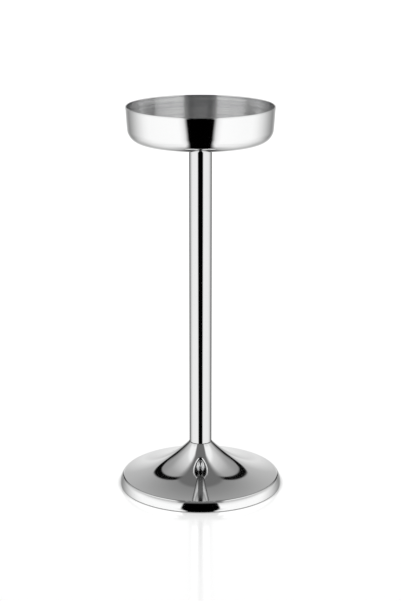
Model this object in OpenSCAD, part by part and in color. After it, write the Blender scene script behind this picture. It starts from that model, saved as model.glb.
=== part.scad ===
// Champagne bucket stand: a spun dish on a tube column over a weighted, bell-shaped base.
// One tie rod runs through the column and clamps dish, column and base together.
// Origin: centre of the footprint, on the floor. +Z is up. Millimetres.

/* [Overall] */
// Height from the floor to the rim of the dish
total_h = 590; // [560:1:620]
// Outer diameter of the column tube
tube_d = 33.7; // [33:0.1:34.5]
// Wall thickness of the column tube
tube_wall = 1.5; // [1.2:0.1:2]

/* [Dish] */
// Outer diameter of the dish over its rolled rim
rim_d = 222; // [215:1:245]
// Outer depth of the dish, rim to underside
dish_depth = 52.5; // [48:0.5:70]
// Sheet thickness of the dish
dish_sheet = 1.0; // [0.8:0.1:1.2]
// Lean of the wall just under the rim, degrees from upright
wall_lean_top = 2.8; // [2:0.1:6]
// Lean of the wall where it meets the corner
wall_lean_low = 4.8; // [4:0.1:8]
// Outer radius of the corner between wall and floor
corner_r = 20.5; // [16:0.5:26]
// Radius of the bead rolled along the rim
bead_r = 1.0; // [0.8:0.1:1.3]
// How far the bead stands proud of the wall
bead_proud = 0.7; // [0.3:0.1:1]

/* [Base] */
// Outer diameter of the base
base_d = 250; // [240:1:270]
// Sheet thickness of the base shell
base_sheet = 1.2; // [1:0.1:1.5]
// Height of the neck, where the column stands
neck_z = 68.5; // [62:0.5:75]
// Slope of the bell at the neck, degrees below horizontal
neck_slope = 49; // [44:0.5:54]
// How far the bell holds the neck's slope, as the length of its curve handle
neck_reach = 30; // [24:0.5:36]
// Slope of the top where it meets the edge, degrees below horizontal
crown_slope = 10; // [8:0.5:14]
// How far the top holds that slope inwards, as the length of its curve handle
crown_reach = 45; // [35:0.5:50]
// Radius of the steep outer edge, seen in section
edge_r = 20; // [18:0.5:24]
// How far the edge leans in before it turns into the top, degrees
edge_turn = 38; // [34:1:42]
// Radius of the corner between edge and top
edge_corner_r = 5; // [4:0.5:6]
// Height of the widest ring above the floor
widest_z = 1.8; // [1.8:0.1:2.4]
// Height of the floor ring that shows under the shell
floor_gap = 1.0; // [0.9:0.1:1.2]

/* [Hidden] */
$fn = 128;

// Clearance left between pieces that slide together, and how far a cutter overshoots
slip = 0.05;
over = 1;

// Dish: a recess in its floor keeps the fixing below the bucket
dish_under_z = total_h - dish_depth;
recess_depth = 5;
recess_r = 19;
recess_bend_r = 1.6;
recess_under_z = dish_under_z - recess_depth;
recess_floor_z = recess_under_z + dish_sheet;
wall_h = dish_depth - corner_r * (1 - sin(wall_lean_low));

// Support under the dish
gasket_t = 0.8;
gasket_in_r = recess_r + 3.2;
support_r = 36;
support_t = 7.2;
support_lip = 2.4;
support_chamfer = 10;
recess_clear_r = recess_r + 0.2;
support_top_z = dish_under_z - gasket_t;
tube_top_z = support_top_z - support_t;
tube_bore_r = tube_d / 2 - tube_wall;
spigot_r = tube_bore_r - slip;
spigot_h = 24;

// Tie rod, M8, with a plain shank between its two threads
rod_r = 4;
rod_shank_r = 3.6;
rod_thread_h = 45;
rod_chamfer = 0.8;
rod_low_z = 4.4;
rod_top_z = recess_under_z - 2;
rod_clear_r = rod_r + 0.4;

// Sleeve nut in the dish, with the washers under its head
sleeve_r = 5.6;
sleeve_h = 22;
sleeve_clear_r = 5.8;
sleeve_head_r = 11;
sleeve_head_t = 2;
hex_key_af = 6;
hex_key_depth = 3;
seal_r = 13.4;
seal_t = 1;
dish_washer_r = 14;
dish_washer_t = 1.5;
sleeve_head_z = recess_floor_z + seal_t + dish_washer_t;

// Base shell and the ring under its edge
edge_corner_c = [
    base_d / 2 - edge_r + (edge_r - edge_corner_r) * cos(edge_turn),
    widest_z + (edge_r - edge_corner_r) * sin(edge_turn)
];
crown = edge_corner_c + edge_corner_r * [sin(crown_slope), cos(crown_slope)];
curl_r = 3;
curl_end = asin((widest_z - floor_gap - 0.3) / curl_r);
shell_edge_r = base_d / 2 - curl_r * (1 - cos(curl_end));
ring_r = base_d / 2 - 1;
ring_w = 6;
ring_chamfer = 0.4;
leg_r = shell_edge_r - base_sheet - 8 * slip;
leg_t = 1.6;
leg_top_z = 4.8;

// Seat inside the neck, and the adapter that fills it
seat_z = neck_z - base_sheet;
seat_r = tube_d / 2 - 0.8;
adapter_r = 24;
adapter_rim_h = 4;

// Ballast, with a hub up to the adapter and a pocket for the lower nut
cover_z = 3.2;
cover_t = 1;
cover_r = 117;
ballast_low_z = cover_z + cover_t;
ballast_top_z = crown[1] - base_sheet - 0.8;
ballast_r = 112;
hub_r = 22;
hub_top_z = 48;
hub_foot_r = hub_r + 14;
hub_foot_h = 8;
pocket_r = 15;
pocket_z = 15.6;

// Lower nut and its washers
lower_washer_r = 12;
lower_washer_t = 1.6;
spring_r = 7.4;
spring_t = 2;
spring_gap = 0.9;
nut_af = 13;
nut_h = 6.5;
lower_nut_z = pocket_z - lower_washer_t - spring_t - nut_h;

// Screws that hold the cover to the ballast
screw_ring_r = 70;
screw_count = 3;
screw_r = 2;
screw_h = 7;
screw_head_r = 4;
screw_head_t = 1.8;
cross_w = 0.9;
cross_l = 4.4;

// ---- Outlines ----

// Points along an arc in the r-z plane, angles in degrees, n steps
function arc(c, r, a0, a1, n) =
    [for (i = [0:n]) let (a = a0 + (a1 - a0) * i / n) c + r * [cos(a), sin(a)]];

// Points along a cubic curve from p0 to p3 with handles p1 and p2
function curve(p0, p1, p2, p3, n) =
    [for (i = [0:n]) let (t = i / n, u = 1 - t)
        u * u * u * p0 + 3 * u * u * t * p1 + 3 * u * t * t * p2 + t * t * t * p3];

function unit(v) = v / norm(v);

// The path moved sideways by t, to its right-hand side
function beside(path, t) =
    [for (i = [0:len(path) - 1])
        let (
            a = path[max(i - 1, 0)],
            b = path[min(i + 1, len(path) - 1)],
            u = unit(b - a)
        )
        path[i] + t * [u[1], -u[0]]];

// The path without its first point, which the path before it ends on
function onward(path) = [for (i = [1:len(path) - 1]) path[i]];

function reversed(list) = [for (i = [len(list) - 1:-1:0]) list[i]];

// Radius of the dish wall at depth t under the rim
function wall_radius(t) =
    rim_d / 2 - bead_proud - tan(wall_lean_top) * t
    - (tan(wall_lean_low) - tan(wall_lean_top)) * t * t / (2 * wall_h);

// Underside and outside of the dish, from its centre hole to the rim
function dish_path() =
    let (
        corner_c = [
            wall_radius(wall_h) - corner_r * cos(wall_lean_low),
            dish_under_z + corner_r
        ]
    )
    concat(
        [[sleeve_clear_r, recess_under_z]],
        arc([recess_r - recess_bend_r, recess_under_z + recess_bend_r], recess_bend_r, -90, 0, 6),
        arc([recess_r + recess_bend_r + dish_sheet, dish_under_z - recess_bend_r - dish_sheet],
            recess_bend_r + dish_sheet, 180, 90, 6),
        arc(corner_c, corner_r, -90, -wall_lean_low, 24),
        [for (i = [11:-1:0]) let (t = bead_r + (wall_h - bead_r) * i / 12)
            [wall_radius(t), total_h - t]]
    );

// Top of the base shell, from the hole in its neck out to its lower edge
function base_path() =
    let (neck = [tube_d / 2, neck_z])
    concat(
        curve(
            neck, neck + neck_reach * [cos(neck_slope), -sin(neck_slope)],
            crown + crown_reach * [-cos(crown_slope), sin(crown_slope)], crown, 36
        ),
        onward(arc(edge_corner_c, edge_corner_r, 90 - crown_slope, edge_turn, 8)),
        onward(arc([base_d / 2 - edge_r, widest_z], edge_r, edge_turn, 0, 14)),
        onward(arc([base_d / 2 - curl_r, widest_z], curl_r, 0, -curl_end, 3)),
        [[shell_edge_r, floor_gap]]
    );

// A washer or other plain ring
module ring(r_out, r_in, z, t) {
    translate([0, 0, z])
        difference() {
            cylinder(r = r_out, h = t);
            translate([0, 0, -over]) cylinder(r = r_in, h = t + 2 * over);
        }
}

// A hexagonal prism of the given width across its flats
module hexagon(across_flats, h) {
    cylinder(d = across_flats / cos(30), h = h, $fn = 6);
}

// Its children at each of the cover's screws
module screw_places() {
    for (i = [0:screw_count - 1])
        rotate(360 * i / screw_count) translate([screw_ring_r, 0, 0]) children();
}

// ---- Sub-parts, from the top down ----

module bucket_dish() {
    path = dish_path();
    color("silver")
        rotate_extrude()
            union() {
                polygon(concat(path, reversed(beside(path, -dish_sheet))));
                translate([rim_d / 2 - bead_r, total_h - bead_r]) circle(r = bead_r, $fn = 32);
            }
}

module sleeve_nut() {
    bore_end_z = rod_top_z + 1;
    key_z = sleeve_head_z + sleeve_head_t - hex_key_depth - over;
    color("silver")
        difference() {
            union() {
                translate([0, 0, sleeve_head_z]) cylinder(r = sleeve_head_r, h = sleeve_head_t);
                translate([0, 0, recess_under_z - sleeve_h])
                    cylinder(r = sleeve_r, h = sleeve_head_z - recess_under_z + sleeve_h);
            }
            translate([0, 0, recess_under_z - sleeve_h - over])
                cylinder(r = rod_r + slip, h = bore_end_z - recess_under_z + sleeve_h + over);
            translate([0, 0, key_z + over]) hexagon(hex_key_af, hex_key_depth + over);
        }
}

module dish_washer() {
    color("silver")
        ring(dish_washer_r, sleeve_clear_r, recess_floor_z + seal_t, dish_washer_t);
}

module sealing_washer() {
    color("dimgray") ring(seal_r, sleeve_clear_r, recess_floor_z, seal_t);
}

module support_gasket() {
    color("dimgray") ring(support_r - 2, gasket_in_r, support_top_z, gasket_t);
}

module dish_support() {
    funnel_h = 2.5;
    color("gray")
        difference() {
            union() {
                translate([0, 0, tube_top_z])
                    rotate_extrude()
                        polygon([
                            [0, 0], [support_r - support_chamfer, 0],
                            [support_r, support_t - support_lip], [support_r, support_t],
                            [0, support_t]
                        ]);
                translate([0, 0, tube_top_z - spigot_h]) cylinder(r = spigot_r, h = spigot_h);
            }
            translate([0, 0, recess_under_z]) cylinder(r = recess_clear_r, h = support_t);
            translate([0, 0, support_top_z - funnel_h])
                cylinder(r1 = recess_clear_r, r2 = recess_r + 3, h = funnel_h + slip);
            translate([0, 0, tube_top_z - spigot_h - over])
                cylinder(r = sleeve_clear_r + 0.2, h = spigot_h + support_t + 2 * over);
        }
}

module column_tube() {
    color("silver") ring(tube_d / 2, tube_bore_r, neck_z, tube_top_z - neck_z);
}

module tie_rod() {
    r = rod_r;
    low_z = rod_low_z;
    shank_low_z = low_z + rod_thread_h;
    shank_top_z = rod_top_z - rod_thread_h;
    color("gray")
        rotate_extrude()
            polygon([
                [0, low_z], [r - rod_chamfer, low_z], [r, low_z + rod_chamfer],
                [r, shank_low_z], [rod_shank_r, shank_low_z + rod_chamfer],
                [rod_shank_r, shank_top_z - rod_chamfer], [r, shank_top_z],
                [r, rod_top_z - rod_chamfer], [r - rod_chamfer, rod_top_z], [0, rod_top_z]
            ]);
}

module base_adapter() {
    // The cone under the neck seat stays a little clear of the inside of the bell
    tip = 1.5;
    top_z = neck_z + spigot_h + tip;
    color("gray")
        rotate_extrude()
            polygon([
                [rod_clear_r, hub_top_z], [adapter_r, hub_top_z],
                [adapter_r, hub_top_z + adapter_rim_h], [seat_r, seat_z - 0.6], [seat_r, seat_z],
                [spigot_r, seat_z], [spigot_r, top_z - tip], [spigot_r - tip, top_z],
                [rod_clear_r, top_z]
            ]);
}

module base_shell() {
    path = base_path();
    inside = [for (p = beside(path, base_sheet)) if (p[1] < seat_z) p];
    color("silver")
        rotate_extrude()
            polygon(concat(
                [[tube_bore_r, neck_z]], path, reversed(inside),
                [[seat_r + 0.2, seat_z], [tube_bore_r, seat_z]]
            ));
}

module ballast_disc() {
    edge = 1;
    slope = 3;
    color("dimgray")
        difference() {
            rotate_extrude()
                polygon([
                    [0, ballast_low_z], [ballast_r - edge, ballast_low_z],
                    [ballast_r, ballast_low_z + edge], [ballast_r, ballast_top_z - slope],
                    [ballast_r - slope, ballast_top_z], [hub_foot_r, ballast_top_z],
                    [hub_r, ballast_top_z + hub_foot_h], [hub_r, hub_top_z - 2],
                    [hub_r - 2, hub_top_z], [0, hub_top_z]
                ]);
            translate([0, 0, ballast_low_z - over])
                cylinder(r = pocket_r, h = pocket_z - ballast_low_z + over);
            cylinder(r = rod_r + 0.5, h = hub_top_z + over);
            screw_places()
                translate([0, 0, ballast_low_z - over]) cylinder(r = screw_r + slip, h = screw_h + 2);
        }
}

module bottom_cover() {
    color("dimgray")
        difference() {
            translate([0, 0, cover_z]) cylinder(r = cover_r, h = cover_t);
            translate([0, 0, cover_z - over]) cylinder(r = pocket_r, h = cover_t + 2 * over);
            screw_places()
                translate([0, 0, cover_z - over]) cylinder(r = screw_r + 0.2, h = cover_t + 2 * over);
        }
}

module cover_screws() {
    color("silver")
        screw_places() {
            difference() {
                translate([0, 0, cover_z - screw_head_t])
                    cylinder(r1 = screw_head_r - 0.7, r2 = screw_head_r, h = screw_head_t);
                translate([0, 0, cover_z - screw_head_t])
                    cube([cross_w, cross_l, screw_head_t], center = true);
                translate([0, 0, cover_z - screw_head_t])
                    cube([cross_l, cross_w, screw_head_t], center = true);
            }
            translate([0, 0, cover_z]) cylinder(r = screw_r, h = screw_h);
        }
}

module floor_ring() {
    color("lightgray")
        rotate_extrude()
            polygon([
                [ring_r - ring_w + ring_chamfer, 0], [ring_r - ring_chamfer, 0],
                [ring_r, ring_chamfer], [ring_r, floor_gap], [leg_r, floor_gap],
                [leg_r, leg_top_z], [leg_r - leg_t, leg_top_z], [leg_r - leg_t, floor_gap],
                [ring_r - ring_w, floor_gap], [ring_r - ring_w, ring_chamfer]
            ]);
}

module lower_washer() {
    color("silver")
        ring(lower_washer_r, rod_r + 0.2, pocket_z - lower_washer_t, lower_washer_t);
}

module spring_washer() {
    // A split ring with a slanted gap
    z = lower_nut_z + nut_h;
    color("gray")
        difference() {
            ring(spring_r, rod_r + 0.1, z, spring_t);
            translate([(rod_r + spring_r) / 2, 0, z + spring_t / 2])
                rotate([25, 0, 0])
                    cube([spring_r, spring_gap, 3 * spring_t], center = true);
        }
}

module lower_nut() {
    // The cone trims the corners of the hexagon on the side that is seen
    color("silver")
        translate([0, 0, lower_nut_z])
            difference() {
                intersection() {
                    hexagon(nut_af, nut_h);
                    translate([0, 0, -1.6]) cylinder(r1 = 4, r2 = 4 + nut_h + 3.2, h = nut_h + 3.2);
                }
                translate([0, 0, -over]) cylinder(r = rod_r + slip, h = nut_h + 2 * over);
            }
}

bucket_dish();
sealing_washer();
dish_washer();
sleeve_nut();
support_gasket();
dish_support();
column_tube();
tie_rod();
base_adapter();
base_shell();
ballast_disc();
bottom_cover();
cover_screws();
floor_ring();
lower_washer();
spring_washer();
lower_nut();
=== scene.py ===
"""Champagne bucket stand: the looks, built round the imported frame. Metres, +Z up."""

import math

import bmesh
import bpy
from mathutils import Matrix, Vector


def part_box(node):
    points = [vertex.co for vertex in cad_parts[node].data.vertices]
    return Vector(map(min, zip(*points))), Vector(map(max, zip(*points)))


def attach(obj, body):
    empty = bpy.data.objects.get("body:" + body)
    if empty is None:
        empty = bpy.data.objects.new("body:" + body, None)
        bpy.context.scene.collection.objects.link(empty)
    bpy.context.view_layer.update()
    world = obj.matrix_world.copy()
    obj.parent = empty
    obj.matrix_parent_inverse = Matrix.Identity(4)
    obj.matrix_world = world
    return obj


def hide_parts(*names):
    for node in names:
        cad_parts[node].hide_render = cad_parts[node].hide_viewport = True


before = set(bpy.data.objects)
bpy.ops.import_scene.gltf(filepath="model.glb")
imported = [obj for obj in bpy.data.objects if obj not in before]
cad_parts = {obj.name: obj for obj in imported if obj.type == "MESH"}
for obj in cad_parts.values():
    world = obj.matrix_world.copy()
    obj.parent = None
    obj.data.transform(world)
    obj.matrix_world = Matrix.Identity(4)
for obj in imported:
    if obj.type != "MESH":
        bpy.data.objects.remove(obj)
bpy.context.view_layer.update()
MM = 0.001


# ---- Measures taken from the frame ----

def low(node):
    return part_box(node)[0]


def high(node):
    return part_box(node)[1]


TUBE_R = high("column_tube").x
TUBE_LOW = low("column_tube").z
TUBE_HIGH = high("column_tube").z
BASE_R = high("base_shell").x
SHELL_LOW = low("base_shell").z
RIM_R = high("bucket_dish").x
RIM_Z = high("bucket_dish").z
RECESS_Z = low("bucket_dish").z

# Sheet and curve sizes, as the CAD model has them
DISH_SHEET = 1.0 * MM
DISH_DEPTH = 52.5 * MM
WALL_LEAN_TOP = 2.8
WALL_LEAN_LOW = 4.8
CORNER_R = 20.5 * MM
BEAD_R = 1.0 * MM
BEAD_PROUD = 0.7 * MM
DISH_HOLE_R = 5.8 * MM
DISH_UNDER_Z = RIM_Z - DISH_DEPTH
RECESS_R = 19 * MM
RECESS_BEND_R = 1.6 * MM
BASE_SHEET = 1.2 * MM
NECK_SLOPE = 49
NECK_REACH = 30 * MM
CROWN_SLOPE = 10
CROWN_REACH = 45 * MM
EDGE_R = 20 * MM
EDGE_TURN = 38
EDGE_CORNER_R = 5 * MM
WIDEST_Z = 1.8 * MM
CURL_R = 3 * MM
CURL_FLAT = 0.3 * MM
SEAT_EDGE = 0.6 * MM
TUBE_WALL = 1.5 * MM
TUBE_INNER_R = TUBE_R - TUBE_WALL
TUBE_EDGE = 0.25 * MM
JOINT_EDGE = 0.35 * MM

# Facets round the axis
WIDE_FACETS = 256
TUBE_FACETS = 192


# ---- Outline helpers: points are (radius, height) ----

def arc(centre, radius, start, end, steps):
    """Points along an arc, angles in degrees."""
    points = []
    for i in range(steps + 1):
        a = math.radians(start + (end - start) * i / steps)
        points.append((centre[0] + radius * math.cos(a), centre[1] + radius * math.sin(a)))
    return points


def curve(p0, p1, p2, p3, steps):
    """Points along a cubic curve from p0 to p3 with handles p1 and p2."""
    points = []
    for i in range(steps + 1):
        t = i / steps
        u = 1 - t
        weights = (u * u * u, 3 * u * u * t, 3 * u * t * t, t * t * t)
        points.append(tuple(
            sum(w * p[k] for w, p in zip(weights, (p0, p1, p2, p3))) for k in (0, 1)
        ))
    return points


def beside(path, distance):
    """The path moved sideways, to its right-hand side."""
    moved = []
    for i, p in enumerate(path):
        a = path[max(i - 1, 0)]
        b = path[min(i + 1, len(path) - 1)]
        length = math.hypot(b[0] - a[0], b[1] - a[1])
        moved.append((
            p[0] + distance * (b[1] - a[1]) / length,
            p[1] - distance * (b[0] - a[0]) / length,
        ))
    return moved


def lathe(name, outline, facets, materials, pick):
    """A closed outline turned about Z. pick(index) gives each band of faces its material slot."""
    mesh = bpy.data.meshes.new(name)
    bm = bmesh.new()
    angles = [math.tau * i / facets for i in range(facets)]
    rings = [
        [bm.verts.new((r * math.cos(a), r * math.sin(a), z)) for a in angles]
        for r, z in outline
    ]
    for k, ring in enumerate(rings):
        after = rings[(k + 1) % len(rings)]
        for i in range(facets):
            j = (i + 1) % facets
            face = bm.faces.new((ring[i], ring[j], after[j], after[i]))
            face.smooth = True
            face.material_index = pick(k)
    bmesh.ops.recalc_face_normals(bm, faces=bm.faces)
    bm.to_mesh(mesh)
    bm.free()
    for m in materials:
        mesh.materials.append(m)
    piece = bpy.data.objects.new(name, mesh)
    bpy.context.collection.objects.link(piece)
    return piece


def sharpen(piece, degrees):
    """Marks edges over an angle as sharp, so flats and edges stay crisp under smooth shading."""
    bm = bmesh.new()
    bm.from_mesh(piece.data)
    for e in bm.edges:
        if len(e.link_faces) == 2 and e.calc_face_angle(0) > math.radians(degrees):
            e.smooth = False
    bm.to_mesh(piece.data)
    bm.free()


def place(piece, *nodes, slot):
    """Puts a piece on the part's one body, in place of its CAD nodes."""
    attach(piece, "root")
    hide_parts(*nodes)


# ---- Materials ----

class Nodes:
    """Short helpers for building one node material."""

    def __init__(self, name):
        self.material = bpy.data.materials.new(name)
        self.material.use_nodes = True
        self.tree = self.material.node_tree
        self.shader = self.tree.nodes["Principled BSDF"]

    def add(self, kind, **settings):
        node = self.tree.nodes.new(kind)
        for key, value in settings.items():
            if key.startswith("in_"):
                node.inputs[key[3:].replace("_", " ")].default_value = value
            else:
                setattr(node, key, value)
        return node

    def link(self, source, target):
        self.tree.links.new(source, target)

    def math(self, operation, a, b=None):
        node = self.add("ShaderNodeMath", operation=operation)
        for i, value in enumerate((a, b)):
            if value is None:
                continue
            if isinstance(value, (int, float)):
                node.inputs[i].default_value = value
            else:
                self.link(value, node.inputs[i])
        return node.outputs[0]

    def remap(self, value, low_in, high_in, low_out, high_out):
        node = self.add("ShaderNodeMapRange")
        self.link(value, node.inputs["Value"])
        for key, number in zip(("From Min", "From Max", "To Min", "To Max"),
                               (low_in, high_in, low_out, high_out)):
            node.inputs[key].default_value = number
        return node.outputs["Result"]

    def position(self):
        return self.add("ShaderNodeTexCoord").outputs["Object"]

    def noise(self, vector, scale, detail):
        node = self.add("ShaderNodeTexNoise", in_Scale=scale, in_Detail=detail)
        self.link(vector, node.inputs["Vector"])
        return node.outputs["Fac"]

    def rings(self, squash):
        """Coordinates in which noise runs in rings round Z. A small squash keeps the rings even."""
        split = self.add("ShaderNodeSeparateXYZ")
        self.link(self.position(), split.inputs[0])
        x, y, z = split.outputs
        squares = self.math("ADD", self.math("MULTIPLY", x, x), self.math("MULTIPLY", y, y))
        radius = self.math("SQRT", squares)
        inverse = self.math("DIVIDE", squash, self.math("MAXIMUM", radius, 0.001))
        join = self.add("ShaderNodeCombineXYZ")
        self.link(self.math("ADD", radius, z), join.inputs[0])
        self.link(self.math("MULTIPLY", x, inverse), join.inputs[1])
        self.link(self.math("MULTIPLY", y, inverse), join.inputs[2])
        return join.outputs[0]

    def tint(self, factor, first, second):
        """Base colour between two RGB values."""
        mix = self.add("ShaderNodeMix", data_type="RGBA")
        mix.inputs["A"].default_value = (*first, 1)
        mix.inputs["B"].default_value = (*second, 1)
        self.link(factor, mix.inputs["Factor"])
        self.link(mix.outputs["Result"], self.shader.inputs["Base Color"])

    def shade_ramp(self, factor, first, second):
        """Base colour from a ramp between two RGB values."""
        ramp = self.add("ShaderNodeValToRGB")
        for stop, colour in zip(ramp.color_ramp.elements, (first, second)):
            stop.color = (*colour, 1)
        self.link(factor, ramp.inputs["Fac"])
        self.link(ramp.outputs["Color"], self.shader.inputs["Base Color"])

    def set(self, **levels):
        """Constants of the shader, such as Metallic."""
        for name, level in levels.items():
            self.shader.inputs[name.replace("_", " ")].default_value = level

    def roughness(self, *parts):
        """Roughness as one value, or the sum of two."""
        total = self.math("ADD", *parts) if len(parts) == 2 else parts[0]
        self.link(total, self.shader.inputs["Roughness"])

    def bump(self, height, strength, distance):
        node = self.add("ShaderNodeBump", in_Strength=strength, in_Distance=distance)
        self.link(height, node.inputs["Height"])
        self.link(node.outputs["Normal"], self.shader.inputs["Normal"])


# Most of a noise's values lie between these two
NOISE = (0.3, 0.7)


def grey(level):
    return (level, level, level)


def scaled(colour, factor):
    return tuple(c * factor for c in colour)


def mirror_steel(name, shade, edge):
    """Buffed stainless steel: faint buffing rings, a trace of haze. shade darkens the whole colour
    and edge dims glancing angles; below 1 they make a darker copy of the same steel, which paints
    shade.
    """
    n = Nodes(name)
    n.set(Metallic=1.0, Specular_Tint=(*grey(edge), 1))
    lines = n.noise(n.rings(0.002), 900.0, 3.0)
    haze = n.noise(n.position(), 14.0, 4.0)
    n.tint(haze, scaled((0.90, 0.905, 0.91), shade), scaled((0.935, 0.935, 0.93), shade))
    n.roughness(n.remap(lines, *NOISE, 0.0, 0.015), n.remap(haze, 0.35, 0.7, 0.03, 0.06))
    return n.material


def satin_steel():
    """The inside of the dish: brushed round the axis, so highlights draw out across the lines."""
    n = Nodes("satin_steel")
    n.set(Metallic=1.0, Anisotropic=0.95, Anisotropic_Rotation=0.25)
    lines = n.noise(n.rings(0.004), 1500.0, 4.0)
    cloud = n.noise(n.position(), 22.0, 3.0)
    streaks = n.noise(n.rings(0.001), 420.0, 2.0)
    streaks = n.remap(streaks, 0.35, 0.65, -0.45, 0.45)
    n.tint(n.math("ADD", lines, streaks), (0.70, 0.705, 0.71), grey(0.85))
    n.roughness(n.remap(lines, *NOISE, 0.0, 0.04), n.remap(cloud, *NOISE, 0.17, 0.22))
    tangent = n.add("ShaderNodeTangent", direction_type="RADIAL", axis="Z")
    n.link(tangent.outputs[0], n.shader.inputs["Tangent"])
    n.bump(lines, 0.12, 0.04 * MM)
    return n.material


def painted_joint_shade():
    """Painted shade in the joint line: a dull, dark, patchy material that stands in for the shadow
    in the crease.
    """
    n = Nodes("painted_joint_shade")
    n.set(Metallic=0.5)
    patches = n.noise(n.position(), 300.0, 4.0)
    n.tint(patches, grey(0.16), grey(0.30))
    n.roughness(n.remap(patches, *NOISE, 0.45, 0.7))
    return n.material


def turned_metal(name, colour, roughness, line_scale=700.0):
    """Machined or turned metal: tool rings, mottled roughness and slightly dulled patches."""
    n = Nodes(name)
    n.set(Metallic=1.0)
    lines = n.noise(n.rings(0.003), line_scale, 3.0)
    spots = n.noise(n.position(), 60.0, 4.0)
    n.tint(n.remap(spots, 0.35, 0.6, 0.0, 1.0), scaled(colour, 0.82), colour)
    n.roughness(
        n.remap(lines, *NOISE, 0.0, 0.08),
        n.remap(spots, *NOISE, roughness, roughness + 0.1),
    )
    n.bump(lines, 0.25, 0.03 * MM)
    return n.material


def cast_iron():
    """Rough casting under dark primer, rubbed paler on the high spots."""
    n = Nodes("cast_iron")
    n.set(Metallic=0.35)
    grain = n.noise(n.position(), 450.0, 6.0)
    broad = n.noise(n.position(), 35.0, 4.0)
    wear = n.math("MULTIPLY", grain, n.remap(broad, *NOISE, 0.7, 1.3))
    n.shade_ramp(wear, (0.018, 0.018, 0.02), (0.09, 0.088, 0.085))
    n.roughness(n.remap(grain, *NOISE, 0.55, 0.8))
    n.bump(grain, 0.6, 0.3 * MM)
    return n.material


def grained_plastic(name, dark, light, roughness):
    """Moulded plastic with a fine spark-eroded grain and slight sheen changes."""
    n = Nodes(name)
    grain = n.noise(n.position(), 1400.0, 2.0)
    cloud = n.noise(n.position(), 18.0, 3.0)
    n.tint(cloud, dark, light)
    n.roughness(n.remap(cloud, *NOISE, roughness, roughness + 0.12))
    n.bump(grain, 0.3, 0.08 * MM)
    return n.material


def seal_rubber():
    """Matte black rubber with a dusty bloom."""
    n = Nodes("seal_rubber")
    bloom = n.noise(n.position(), 120.0, 5.0)
    n.shade_ramp(bloom, grey(0.012), grey(0.05))
    n.roughness(n.remap(bloom, *NOISE, 0.6, 0.8))
    n.bump(bloom, 0.3, 0.1 * MM)
    return n.material


MIRROR = mirror_steel("mirror_steel", 1.0, 1.0)
# The column's steel is the mirror steel darkened all over and at glancing angles: painted shade on
# the tube.
SHADED_TUBE_STEEL = mirror_steel("tube_steel_painted_shade", 0.86, 0.12)
SATIN = satin_steel()
PAINTED_JOINT_SHADE = painted_joint_shade()
BRIGHT = turned_metal("bright_steel", (0.72, 0.73, 0.74), 0.2)
ROD = turned_metal("rod_steel", (0.58, 0.59, 0.61), 0.3)
ALUMINIUM = turned_metal("turned_aluminium", (0.76, 0.77, 0.78), 0.28, 500.0)
IRON = cast_iron()
COVER = grained_plastic("cover_plastic", (0.018, 0.018, 0.02), (0.03, 0.03, 0.032), 0.5)
# The floor ring's grey is kept dark so that it shows as a thin grey line under the rim: partly the
# plastic's colour, partly painted shade.
RING_PLASTIC_AND_SHADE = grained_plastic("ring_plastic", grey(0.22), grey(0.27), 0.4)
RUBBER = seal_rubber()


# ---- Outer shells ----

def wall_height():
    """Height of the dish wall, from the rim down to the start of the corner."""
    return DISH_DEPTH - CORNER_R * (1 - math.sin(math.radians(WALL_LEAN_LOW)))


def wall_radius(depth):
    """Radius of the dish wall at a depth under the rim. Its lean grows evenly downwards."""
    top = math.tan(math.radians(WALL_LEAN_TOP))
    bottom = math.tan(math.radians(WALL_LEAN_LOW))
    drift = (bottom - top) * depth * depth / (2 * wall_height())
    return RIM_R - BEAD_PROUD - top * depth - drift


def make_dish():
    """One pressed sheet: bright outside and rim bead, brushed inside."""
    lean = math.radians(WALL_LEAN_LOW)
    wall_h = wall_height()
    corner = (wall_radius(wall_h) - CORNER_R * math.cos(lean), DISH_UNDER_Z + CORNER_R)
    bend_out = RECESS_BEND_R + DISH_SHEET
    under = [(DISH_HOLE_R, RECESS_Z)]
    recess_bend = (RECESS_R - RECESS_BEND_R, RECESS_Z + RECESS_BEND_R)
    under += arc(recess_bend, RECESS_BEND_R, -90, 0, 8)
    under += arc((RECESS_R + bend_out, DISH_UNDER_Z - bend_out), bend_out, 180, 90, 8)
    flat_start = under[-1][0]
    flat_steps = 6
    flat = [
        (flat_start + (corner[0] - flat_start) * i / flat_steps, DISH_UNDER_Z)
        for i in range(1, flat_steps)
    ]
    outside = under + flat + arc(corner, CORNER_R, -90, -WALL_LEAN_LOW, 40)
    wall_steps = 24
    for i in range(1, wall_steps + 1):
        depth = wall_h + (2 * BEAD_R - wall_h) * i / wall_steps
        outside.append((wall_radius(depth), RIM_Z - depth))
    inside = beside(outside, -DISH_SHEET)
    bead = arc((RIM_R - BEAD_R, RIM_Z - BEAD_R), BEAD_R, -50, 215, 28)
    outline = outside + bead + inside[::-1]
    first_inside = len(outside) + len(bead) - 1

    def brushed(index):
        return int(first_inside <= index < len(outline) - 1)

    piece = lathe("dish_bowl", outline, WIDE_FACETS, (MIRROR, SATIN), brushed)
    sharpen(piece, 50)
    place(piece, "bucket_dish", slot="polished_steel")


def joint_face(index):
    """The second band of the tube's and the bell's outlines is their side of the joint line."""
    return int(index == 1)


def make_column():
    """The tube, with the edges of its ends broken. Its lower edge is one side of the joint line."""
    start = TUBE_LOW + JOINT_EDGE
    end = TUBE_HIGH - TUBE_EDGE
    steps = 40
    outline = [(TUBE_INNER_R, TUBE_LOW), (TUBE_R - JOINT_EDGE, TUBE_LOW)]
    outline += [(TUBE_R, start + (end - start) * i / steps) for i in range(steps + 1)]
    outline += [(TUBE_R - TUBE_EDGE, TUBE_HIGH), (TUBE_INNER_R, TUBE_HIGH)]
    # The tube's joint band takes the painted joint shade.
    piece = lathe("column", outline, TUBE_FACETS, (SHADED_TUBE_STEEL, PAINTED_JOINT_SHADE), joint_face)
    sharpen(piece, 40)
    place(piece, "column_tube", slot="polished_steel")


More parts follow.
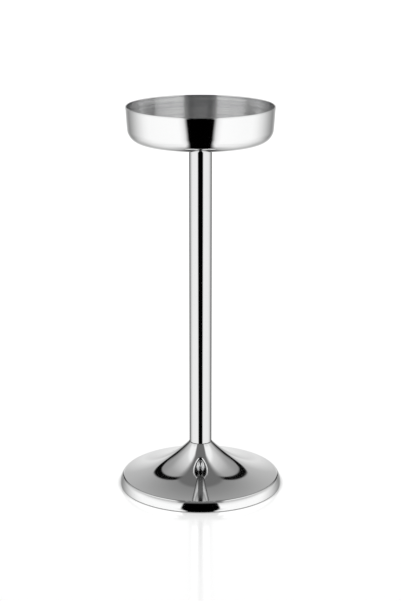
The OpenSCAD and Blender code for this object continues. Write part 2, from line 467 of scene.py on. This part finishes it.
def make_base():
    """The spun bell, down to its curled lower edge."""
    slope = math.radians(NECK_SLOPE)
    tilt = math.radians(CROWN_SLOPE)
    turn = math.radians(EDGE_TURN)
    reach = EDGE_R - EDGE_CORNER_R
    corner = (
        BASE_R - EDGE_R + reach * math.cos(turn),
        WIDEST_Z + reach * math.sin(turn),
    )
    neck = (TUBE_R, TUBE_LOW)
    neck_handle = (neck[0] + NECK_REACH * math.cos(slope), neck[1] - NECK_REACH * math.sin(slope))
    crown = (
        corner[0] + EDGE_CORNER_R * math.sin(tilt),
        corner[1] + EDGE_CORNER_R * math.cos(tilt),
    )
    crown_handle = (
        crown[0] - CROWN_REACH * math.cos(tilt),
        crown[1] + CROWN_REACH * math.sin(tilt),
    )
    path = curve(neck, neck_handle, crown_handle, crown, 96)
    path += arc(corner, EDGE_CORNER_R, 90 - CROWN_SLOPE, EDGE_TURN, 24)[1:]
    path += arc((BASE_R - EDGE_R, WIDEST_Z), EDGE_R, EDGE_TURN, 0, 36)[1:]
    curl_end = math.degrees(math.asin((WIDEST_Z - SHELL_LOW - CURL_FLAT) / CURL_R))
    path += arc((BASE_R - CURL_R, WIDEST_Z), CURL_R, 0, -curl_end, 4)[1:]
    path += [(path[-1][0], SHELL_LOW)]
    seat_z = TUBE_LOW - BASE_SHEET
    inside = [p for p in beside(path, BASE_SHEET) if p[1] < seat_z]
    path[0] = (TUBE_R - JOINT_EDGE, TUBE_LOW)
    seat = [(TUBE_R - SEAT_EDGE, seat_z), (TUBE_INNER_R, seat_z)]
    outline = [(TUBE_INNER_R, TUBE_LOW)] + path + inside[::-1] + seat
    # The bell's joint band takes the painted joint shade.
    piece = lathe("base_bell", outline, WIDE_FACETS, (MIRROR, PAINTED_JOINT_SHADE), joint_face)
    sharpen(piece, 40)
    place(piece, "base_shell", slot="polished_steel")


make_dish()
make_column()
make_base()


# ---- CAD nodes that stay, with their own materials ----

def dress(node, material):
    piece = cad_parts[node]
    for slot in piece.material_slots:
        slot.material = material
    if not piece.material_slots:
        piece.data.materials.append(material)


for node, material in (
    ("sealing_washer", RUBBER), ("dish_washer", BRIGHT), ("sleeve_nut", BRIGHT),
    ("support_gasket", RUBBER), ("dish_support", ALUMINIUM), ("tie_rod", ROD),
    ("base_adapter", ALUMINIUM), ("ballast_disc", IRON), ("bottom_cover", COVER),
    ("cover_screws", BRIGHT), ("floor_ring", RING_PLASTIC_AND_SHADE), ("lower_washer", BRIGHT),
    ("spring_washer", ROD), ("lower_nut", BRIGHT),
):
    dress(node, material)


# ---- Floor ----

FLOOR_HALF = 40.0
FLOOR_GLOW = 0.79
FLOOR_MIRROR = 0.45
FLOOR_ROUGHNESS = 0.13
CONTACT_REACH = 5.5 * MM


def make_floor():
    """A plain white sheet with a faint gloss and a contact shade. The object's mirror sides see
    the studio, not the sheet."""
    mesh = bpy.data.meshes.new("floor")
    corners = [(x * FLOOR_HALF, y * FLOOR_HALF, 0) for x, y in ((-1, -1), (1, -1), (1, 1), (-1, 1))]
    mesh.from_pydata(corners, [], [(0, 1, 2, 3)])
    floor = bpy.data.objects.new("floor", mesh)
    bpy.context.collection.objects.link(floor)
    material = bpy.data.materials.new("floor_white")
    material.use_nodes = True
    nodes = material.node_tree.nodes
    links = material.node_tree.links
    nodes.clear()
    contact = nodes.new("ShaderNodeAmbientOcclusion")
    contact.inputs["Distance"].default_value = CONTACT_REACH
    glow = nodes.new("ShaderNodeEmission")
    glow.inputs["Strength"].default_value = FLOOR_GLOW
    gloss = nodes.new("ShaderNodeBsdfGlossy")
    gloss.inputs["Color"].default_value = (*grey(FLOOR_MIRROR), 1)
    gloss.inputs["Roughness"].default_value = FLOOR_ROUGHNESS
    both = nodes.new("ShaderNodeAddShader")
    out = nodes.new("ShaderNodeOutputMaterial")
    links.new(contact.outputs["Color"], glow.inputs["Color"])
    links.new(glow.outputs[0], both.inputs[0])
    links.new(gloss.outputs[0], both.inputs[1])
    links.new(both.outputs[0], out.inputs["Surface"])
    mesh.materials.append(material)
    floor.visible_glossy = False
    floor.visible_shadow = False


make_floor()


# ---- Studio: panels left and right of the camera, a dark gap between them, a grey ceiling ----
# Levels are given by direction. rise is the angle over the horizon, turn the angle from the
# camera's side round to the back, both in degrees.

BLACK_SLOT = 0.002
CEILING_LEVEL = 0.155
SWEEP_TURN = 154.2
SWEEP_SHIFT = 0.2
SWEEP_SHIFT_RISE = 30.0
BAND_SLANT = 0.84
BAND_REACH = 1.04
CEILING_HALF = 0.325
CEILING_FLARE = 0.45
CEILING_FLARE_START = 0.12
CEILING_SOFT = 0.08
STRIP_HALF = 0.176
STRIP_FLARE = 0.145
FOOT_TURN = 141.0
FOOT_RISE = 10.0
FOOT_SLANT = 1.6
GAP_SCALE = 100.0
TO_DEGREES = 180 / math.pi

# Behind the object: a pale sweep that darkens with height (rise, level)
SWEEP = ((5, 0.82), (15, 0.63), (20, 0.52), (30, 0.45), (40, 0.36), (50, 0.29), (62, 0.23))
# Side panels, which fade towards the back, sooner near the floor (turn, level)
HIGH_PANEL = (
    (27, 0.88), (98, 0.85), (110, 0.65), (120, 0.585), (130, 0.49), (140, 0.36), (150, 0.30),
    (160, 0.30),
)
LOW_PANEL = (
    (27, 1.05), (95, 1.03), (105, 0.92), (115, 0.78), (125, 0.64), (135, 0.50), (142, 0.42),
    (150, 0.34),
)
# How much a diagonal band between the front panels and the ones overhead dims (across, share)
DIM_BAND = (
    (-1.0, 0.0), (-0.65, 0.16), (-0.4, 0.28), (-0.2, 0.43), (0.0, 0.52), (0.12, 0.52),
    (0.22, 0.15), (0.34, 0.0),
)
# Under the horizon, at three depths (turn, level)
LEVEL = (
    (27, 1.06), (88, 1.03), (98, 0.96), (110, 0.80), (120, 0.64), (130, 0.48), (140, 0.35),
    (147, 0.285), (152, 0.34), (159, 0.43), (166, 0.60), (172, 0.72), (178, 0.84),
)
LOWER = (
    (27, 1.04), (60, 1.04), (85, 1.00), (98, 0.94), (110, 0.85), (120, 0.77), (130, 0.64),
    (140, 0.55), (147, 0.48), (152, 0.45), (157, 0.49), (168, 0.66), (173, 0.60), (178, 0.38),
)
LOWEST = (
    (27, 0.95), (55, 0.95), (85, 0.92), (100, 0.87), (120, 0.77), (135, 0.68), (147, 0.55),
    (157, 0.50), (162, 0.40), (167, 0.28), (172, 0.15), (178, 0.04),
)
# The dark foot of the slot (rise, share)
FOOT = ((11, 0.92), (14, 0.85), (18, 0.58), (23, 0.28), (29, 0.0))
# The dark gap at the camera: half its width in hundreds of degrees (rise, half width)
HALF_GAP = (
    (-50, 0.220), (-34, 0.220), (-26, 0.206), (-20, 0.211), (-18, 0.220), (-15.5, 0.238),
    (-13, 0.256), (-10, 0.264), (25, 0.260), (36, 0.272), (50, 0.280),
)
# Its soft edge under the horizon (degrees past the edge, darkness)
SOFT_GAP = ((-3.5, 1.0), (-0.5, 0.58), (1.5, 0.26), (5, 0.1), (11, 0.0))


def make_world():
    world = bpy.data.worlds.new("studio")
    bpy.context.scene.world = world
    world.use_nodes = True
    tree = world.node_tree
    tree.nodes.clear()

    def node(kind, **settings):
        made = tree.nodes.new(kind)
        for key, value in settings.items():
            setattr(made, key, value)
        return made

    def feed(made, sockets, values):
        """Sets or links the node's input sockets."""
        for socket, value in zip(sockets, values):
            if isinstance(value, (int, float)):
                made.inputs[socket].default_value = value
            else:
                tree.links.new(value, made.inputs[socket])

    def maths(operation, *values):
        made = node("ShaderNodeMath", operation=operation)
        feed(made, range(2), values)
        return made.outputs[0]

    def plus(a, b):
        return maths("ADD", a, b)

    def minus(a, b):
        return maths("SUBTRACT", a, b)

    def times(a, b):
        return maths("MULTIPLY", a, b)

    def larger(a, b):
        return maths("MAXIMUM", a, b)

    def ease(value, start, end, first=0.0, last=1.0):
        """Goes smoothly from first at start to last at end."""
        made = node("ShaderNodeMapRange", interpolation_type="SMOOTHSTEP")
        feed(made, ("Value", "From Min", "From Max", "To Min", "To Max"),
             (value, start, end, first, last))
        return made.outputs["Result"]

    def fade(value, start, end):
        """Goes smoothly from 1 at start to 0 at end."""
        return ease(value, start, end, 1.0, 0.0)

    def blend(factor, a, b):
        made = node("ShaderNodeMix", data_type="FLOAT")
        feed(made, ("Factor", "A", "B"), (factor, a, b))
        return made.outputs["Result"]

    def ramp(value, stops):
        """A level read from (value, level) stops."""
        first, last = stops[0][0], stops[-1][0]
        made = node("ShaderNodeValToRGB")
        scaled_value = node("ShaderNodeMapRange")
        feed(scaled_value, ("Value", "From Min", "From Max"), (value, first, last))
        tree.links.new(scaled_value.outputs["Result"], made.inputs["Fac"])
        points = made.color_ramp.elements
        while len(points) < len(stops):
            points.new(0.5)
        for point, (at, level) in zip(points, stops):
            point.position = (at - first) / (last - first)
            point.color = (*grey(level), 1)
        parts = node("ShaderNodeSeparateXYZ")
        tree.links.new(made.outputs["Color"], parts.inputs[0])
        return parts.outputs[0]

    split = node("ShaderNodeSeparateXYZ")
    tree.links.new(node("ShaderNodeTexCoord").outputs["Generated"], split.inputs[0])
    x, y, z = split.outputs
    width = maths("ABSOLUTE", x)
    turn = times(maths("ABSOLUTE", maths("ARCTAN2", x, times(y, -1.0))), TO_DEGREES)
    rise = times(maths("ARCSINE", z), TO_DEGREES)
    height = larger(z, 0.001)
    sideways = maths("DIVIDE", width, height)
    rearward = maths("DIVIDE", y, height)

    high_panel = times(ramp(turn, HIGH_PANEL), ease(rise, 32, 48, 0.93, 1.12))
    panel = blend(ease(rise, 12, 42), ramp(turn, LOW_PANEL), high_panel)
    across = plus(minus(rearward, times(sideways, BAND_SLANT)), BAND_REACH)
    dim = times(ramp(across, DIM_BAND), times(fade(turn, 70, 130), ease(rise, 10, 20)))
    panel = times(panel, minus(1.0, dim))

    # The edge between panels and sweep. lean is how far a direction is past it.
    past_30 = larger(minus(rise, SWEEP_SHIFT_RISE), 0.0)
    lean = minus(turn, minus(SWEEP_TURN, times(past_30, SWEEP_SHIFT)))
    body = blend(ease(lean, -1.0, 1.0), panel, ramp(rise, SWEEP))

    # From the horizon down
    under = blend(ease(rise, -50, -40), ramp(turn, LOWEST), ramp(turn, LOWER))
    under = blend(ease(rise, -34, -20), under, ramp(turn, LEVEL))
    under = times(under, ease(rise, -85, -58, 0.5, 1.0))
    body = blend(ease(rise, 0, 8), under, body)

    # The narrow dark slot between panels and sweep, softer near the floor, with a dark foot on the
    # panels' side
    soft_edge = blend(ease(rise, 5, 20), fade(lean, 0, 8), fade(lean, 1.3, 2.9))
    slot = times(ease(lean, -3.6, -2.2), soft_edge)
    slot = times(slot, times(ease(rise, -8, 9), fade(rise, 60, 69)))
    foot_edge = plus(minus(turn, FOOT_TURN), times(minus(rise, FOOT_RISE), FOOT_SLANT))
    foot = times(ease(foot_edge, -2, 2), ease(rise, 8, 11))
    foot = times(foot, ramp(rise, FOOT))
    near = times(ease(lean, -14, -5, 0.0, 0.97), ease(rise, 4, 10))
    near = times(near, fade(rise, 17, 27))
    foot = times(larger(foot, near), soft_edge)
    body = blend(larger(slot, foot), body, BLACK_SLOT)

    # The dark gap at the camera: sharp above the horizon, softer under it, and on under the object
    edge = minus(turn, times(ramp(rise, HALF_GAP), GAP_SCALE))
    gap = blend(ease(rise, -12, 2), ramp(edge, SOFT_GAP), fade(edge, -1.5, 2.0))
    strip_half = minus(STRIP_HALF, times(y, STRIP_FLARE))
    strip = times(fade(minus(width, strip_half), -0.05, 0.07), fade(rise, -45, -34))
    body = blend(larger(gap, strip), body, 0.0)

    # The grey ceiling between the panels' top edges, from the gap to the top of the sweep
    forward = larger(minus(times(rearward, -1.0), CEILING_FLARE_START), 0.0)
    side_edge = minus(sideways, plus(CEILING_HALF, times(forward, CEILING_FLARE)))
    ceiling = times(fade(side_edge, -CEILING_SOFT, CEILING_SOFT), fade(rearward, 0.50, 0.60))
    ceiling = times(ceiling, ease(rearward, -1.1, -0.6))
    sky = blend(times(ceiling, ease(rise, 30, 40)), body, CEILING_LEVEL)

    # The camera itself sees white behind the floor
    seen = blend(node("ShaderNodeLightPath").outputs["Is Camera Ray"], sky, 1.0)
    colour = node("ShaderNodeCombineXYZ")
    feed(colour, range(3), (seen, seen, seen))
    background = node("ShaderNodeBackground")
    tree.links.new(colour.outputs[0], background.inputs["Color"])
    out = node("ShaderNodeOutputWorld")
    tree.links.new(background.outputs[0], out.inputs["Surface"])


make_world()
bpy.context.scene.view_settings.view_transform = "Standard"


# ---- Camera ----

LENS = 97.8
SENSOR = 36
CAMERA_PLACE = (0, -2.382, 0.961)
CAMERA_PITCH = 0.2732


def make_camera():
    """A long lens a little over two metres away, looking down by about 16 degrees."""
    data = bpy.data.cameras.new("camera")
    data.lens = LENS
    data.sensor_width = SENSOR
    camera = bpy.data.objects.new("camera", data)
    bpy.context.collection.objects.link(camera)
    camera.location = CAMERA_PLACE
    camera.rotation_euler = (math.pi / 2 - CAMERA_PITCH, 0, 0)
    bpy.context.scene.camera = camera


make_camera()
